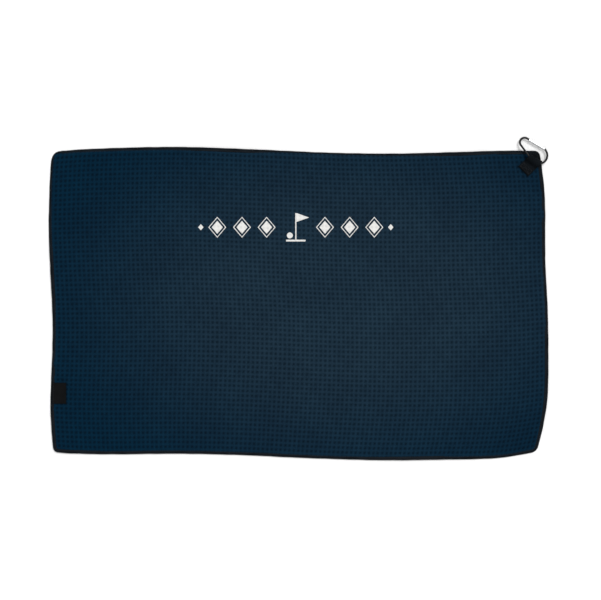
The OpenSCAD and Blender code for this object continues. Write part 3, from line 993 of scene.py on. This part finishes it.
def motif_outlines():
    """The printed shapes, each an outer ring with an optional hole, in metres around the motif's centre."""
    low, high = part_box("printed_motif")
    h = (high[1] - low[1])
    foot, top = -h / 2, h / 2

    def diamond(cx, l, t):
        return [(cx - l / 2, 0), (cx, t / 2), (cx + l / 2, 0), (cx, -t / 2)]

    def disc(cx, cy, r, n=48):
        turns = np.linspace(0, 2 * math.pi, n, endpoint=False)
        return [(cx + r * math.cos(a), cy + r * math.sin(a)) for a in turns]

    def bar(half, y0, y1):
        return [(-half, y0), (half, y0), (half, y1), (-half, y1)]

    flag = [(POLE_HALF, top), (POLE_HALF, top - FLAG_H), (POLE_HALF + FLAG_L, top - FLAG_H / 2)]
    shapes = [(bar(POLE_HALF, foot, top), None), (flag, None),
              (bar(GREEN_HALF, foot, foot + GREEN_H), None),
              (disc(BALL_AT[0], foot + BALL_AT[1], BALL_R), None)]
    l, t = DIAMOND_L, h * DIAMOND_SHARE
    for way in (-1, 1):
        for i in range(3):
            cx = way * (DIAMOND_START + i * DIAMOND_STEP) * MM
            shapes.append((diamond(cx, l * 0.62, t * 0.62), None))
            shapes.append((diamond(cx, l, t), diamond(cx, l - LINE * 2.6, t - LINE * 2.6)))
        end = way * (DIAMOND_START + 2 * DIAMOND_STEP + END_STEP) * MM
        shapes.append((diamond(end, l * 0.3, t * 0.3), None))
    return shapes


def dense_ring(ring, step):
    """A ring's points, every step along it."""
    return resample(np.array(ring, float), step, closed=True)


def point_in(ring, p):
    """True for each point of p that is inside a ring."""
    x, y = p[:, 0][:, None], p[:, 1][:, None]
    a, b = ring, np.roll(ring, -1, axis=0)
    cross = ((a[:, 1] > y) != (b[:, 1] > y)) & (
        x < (b[:, 0] - a[:, 0]) * (y - a[:, 1]) / (b[:, 1] - a[:, 1] + 1e-15) + a[:, 0])
    return cross.sum(axis=1) % 2 == 1


def fill_shape(outer, hole, step):
    """Triangles that fill a ring, with inner points so that they can follow the waffle."""
    rings = [dense_ring(outer, step)] + ([dense_ring(hole, step)] if hole else [])
    low, high = rings[0].min(axis=0), rings[0].max(axis=0)
    gx, gy = np.meshgrid(np.arange(low[0], high[0], step), np.arange(low[1], high[1], step * 0.87),
                         indexing="ij")
    gx = gx + (np.arange(gx.shape[1]) % 2)[None, :] * step / 2
    inner = np.column_stack([gx.ravel(), gy.ravel()])
    keep = point_in(rings[0], inner)
    if hole:
        keep &= ~point_in(rings[1], inner)
    for r in rings:
        gap = np.array([np.min(((r - q) ** 2).sum(axis=1)) for q in inner[keep]])
        index = np.flatnonzero(keep)
        keep[index[gap < (0.45 * step) ** 2]] = False
    inner = inner[keep]
    points, edges = [], []
    for r in rings:
        base = len(points)
        points += [tuple(q) for q in r]
        edges += [(base + i, base + (i + 1) % len(r)) for i in range(len(r))]
    points += [tuple(q) for q in inner]
    verts, _, faces, *_ = delaunay_2d_cdt([Vector(q) for q in points], edges, [], 0, 1e-7)
    verts = np.array([tuple(v) for v in verts])
    faces = np.array([f for f in faces if len(f) == 3])
    middle = verts[faces].mean(axis=1)
    ok = point_in(rings[0], middle)
    if hole:
        ok &= ~point_in(rings[1], middle)
    return verts, faces[ok]


def build_motif(cloth):
    """The print: thin ink that lies on the waffle's relief."""
    low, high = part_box("printed_motif")
    centre = np.array([(low[0] + high[0]) / 2, (low[1] + high[1]) / 2])
    tree = BVHTree.FromObject(cloth, bpy.context.evaluated_depsgraph_get())
    relief = np.empty(len(cloth.data.vertices), np.float32)
    cloth.data.attributes["relief"].data.foreach_get("value", relief)
    all_v, all_f, base = [], [], 0
    for outer, hole in motif_outlines():
        v, f = fill_shape(outer, hole, INK_STEP)
        all_v.append(v + centre)
        all_f.append(f + base)
        base += len(v)
    v, f = np.vstack(all_v), np.vstack(all_f)
    z, ink = np.empty(len(v)), np.empty(len(v))
    polys = cloth.data.polygons
    for i, (x, y) in enumerate(v):
        hit, _, face, _ = tree.ray_cast(Vector((x, y, 0.05)), Vector((0, 0, -1)))
        z[i] = hit.z
        # the ink's tone takes the cloth's relief, for the painted shade in the print's pits
        ink[i] = relief[list(polys[face].vertices)].mean()
    obj = mesh_object("argyle_print", np.column_stack([v, z + INK_LIFT]), f)
    add_point_value(obj, "relief", ink)
    thick = obj.modifiers.new("ink", "SOLIDIFY")
    thick.thickness = 1.6 * INK_LIFT
    thick.offset = -1
    return obj


# ---------------------------------------------------------------- stage, light and camera

VIEW_W = 0.8047  # the width that the camera sees on the table
SENSOR_W = 36.0
CAMERA_AT = (2.3 * MM, 4.7 * MM, 2.6)
FLOOR_HALF = 30.0
FLOOR_Z = -0.2 * MM


def build_stage():
    """A wide white floor."""
    corners = [(-1, -1), (1, -1), (1, 1), (-1, 1)]
    floor = mesh_object("studio_floor", np.array(
        [(x * FLOOR_HALF, y * FLOOR_HALF, FLOOR_Z) for x, y in corners]), [(0, 1, 2, 3)])
    mat, net, shader, coord = new_material("white_floor")
    tone = ramp(net, noise(net, coord, 3, 2), [(0.3, (0.93,) * 3), (0.7, (0.95,) * 3)])
    net.links.new(tone, shader.inputs["Base Color"])
    shader.inputs["Roughness"].default_value = 0.9
    floor.data.materials.append(mat)


def sun(name, azimuth, elevation, softness, strength):
    """A soft distant light from azimuth degrees, counted from +X towards +Y, and elevation degrees up."""
    data = bpy.data.lights.new(name, "SUN")
    data.angle, data.energy = math.radians(softness), strength
    light = bpy.data.objects.new(name, data)
    a, e = math.radians(azimuth), math.radians(elevation)
    place = Vector((math.cos(a) * math.cos(e), math.sin(a) * math.cos(e), math.sin(e)))
    light.location = place * 3
    light.rotation_euler = (-place).to_track_quat("-Z", "Y").to_euler()
    bpy.context.scene.collection.objects.link(light)


def build_lights():
    """An even white world, with a key light from the far right and a weak fill."""
    world = bpy.data.worlds.new("studio")
    world.use_nodes = True
    back = world.node_tree.nodes["Background"]
    back.inputs[0].default_value = (1, 1, 1, 1)
    back.inputs[1].default_value = 0.62
    bpy.context.scene.world = world
    bpy.context.scene.view_settings.view_transform = "Standard"
    sun("key", 52, 58, 22, 1.75)
    sun("fill", 235, 50, 60, 0.45)


def build_camera():
    """Looks straight down on the towel, as the photograph does."""
    data = bpy.data.cameras.new("camera")
    data.sensor_width = SENSOR_W
    data.lens = SENSOR_W * CAMERA_AT[2] / VIEW_W
    data.clip_end = 50
    camera = bpy.data.objects.new("camera", data)
    camera.location = CAMERA_AT
    bpy.context.scene.collection.objects.link(camera)
    bpy.context.scene.camera = camera


# ---------------------------------------------------------------- assembly

def dress_metal():
    """The carabiner's CAD pieces stay, with finished metal on them."""
    heading = math.atan2(SWING_AXIS[1], SWING_AXIS[0])
    looks = {
        "carabiner_body": anodised_material(),
        "carabiner_gate": bright_metal_material(
            "bright_aluminium", (0.66, 0.67, 0.68), (0.86, 0.87, 0.88), 0.16, 0.34, heading),
        "gate_plunger": bright_metal_material(
            "turned_brass", (0.55, 0.42, 0.2), (0.78, 0.64, 0.36), 0.22, 0.4, heading),
    }
    steel = bright_metal_material("pin_steel", (0.42, 0.42, 0.43), (0.62, 0.62, 0.63), 0.2, 0.4, heading)
    for name in ("gate_pivot_pin", "gate_latch_pin", "gate_spring"):
        looks[name] = steel
    for name, mat in looks.items():
        node = frame["nodes"][name]
        for i in range(len(node.material_slots)):
            node.material_slots[i].material = mat


def main():
    """Builds every piece in the order in which it lies on the one before."""
    build_camera()
    build_stage()
    build_lights()
    settled = settle()
    lift = edge_lift(settled)
    # lit ridge and pit colours, then the dimmer, bluer pair for the painted light falloff; the pit colours
    # paint shade into the waffle's pits
    navy = waffle_material("navy_waffle", (0.0134, 0.0335, 0.0560), (0.0032, 0.0112, 0.0208),
                           (0.0004, 0.0185, 0.0425), (0.0001, 0.0056, 0.0145))
    cloth = finish_piece(build_cloth(settled), "towel", navy, ["waffle_cloth"])

    tape = tape_material("binding_tape", (0.0015, 0.002, 0.003), (0.0075, 0.0105, 0.014), 1.1 * MM)
    binding = finish_piece(build_binding(lift), "towel", tape, ["edge_binding"])
    thread = thread_material()
    needle, bobbin = build_seam("needle_stitches", lift, True), build_seam("bobbin_stitches", lift, False)
    finish_piece(needle, "towel", thread, ["binding_needle_thread"])
    finish_piece(bobbin, "towel", thread, ["binding_bobbin_thread"])

    web = tape_material("black_webbing", (0.0008, 0.0013, 0.0019), (0.0045, 0.0066, 0.0088),
                        1.3 * MM, 0.68, 0.5)
    patch = finish_piece(build_patch(), "towel", web, ["corner_patch"])
    strap, strap_length = build_strap()
    finish_piece(strap, "towel", web, ["carabiner_strap"])
    finish_piece(build_strap_stitches(), "towel", thread, ["strap_stitching"])

    satin = tape_material("label_satin", (0.001, 0.0011, 0.0013), (0.0045, 0.0049, 0.0057),
                          0.9 * MM, 0.5, 0.3)
    label, label_length, label_width = build_label()
    finish_piece(label, None, satin, ["care_label"])
    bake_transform(label)

    motif = build_motif(cloth)
    finish_piece(motif, "towel", print_material(), ["printed_motif"])
    dress_metal()


main()
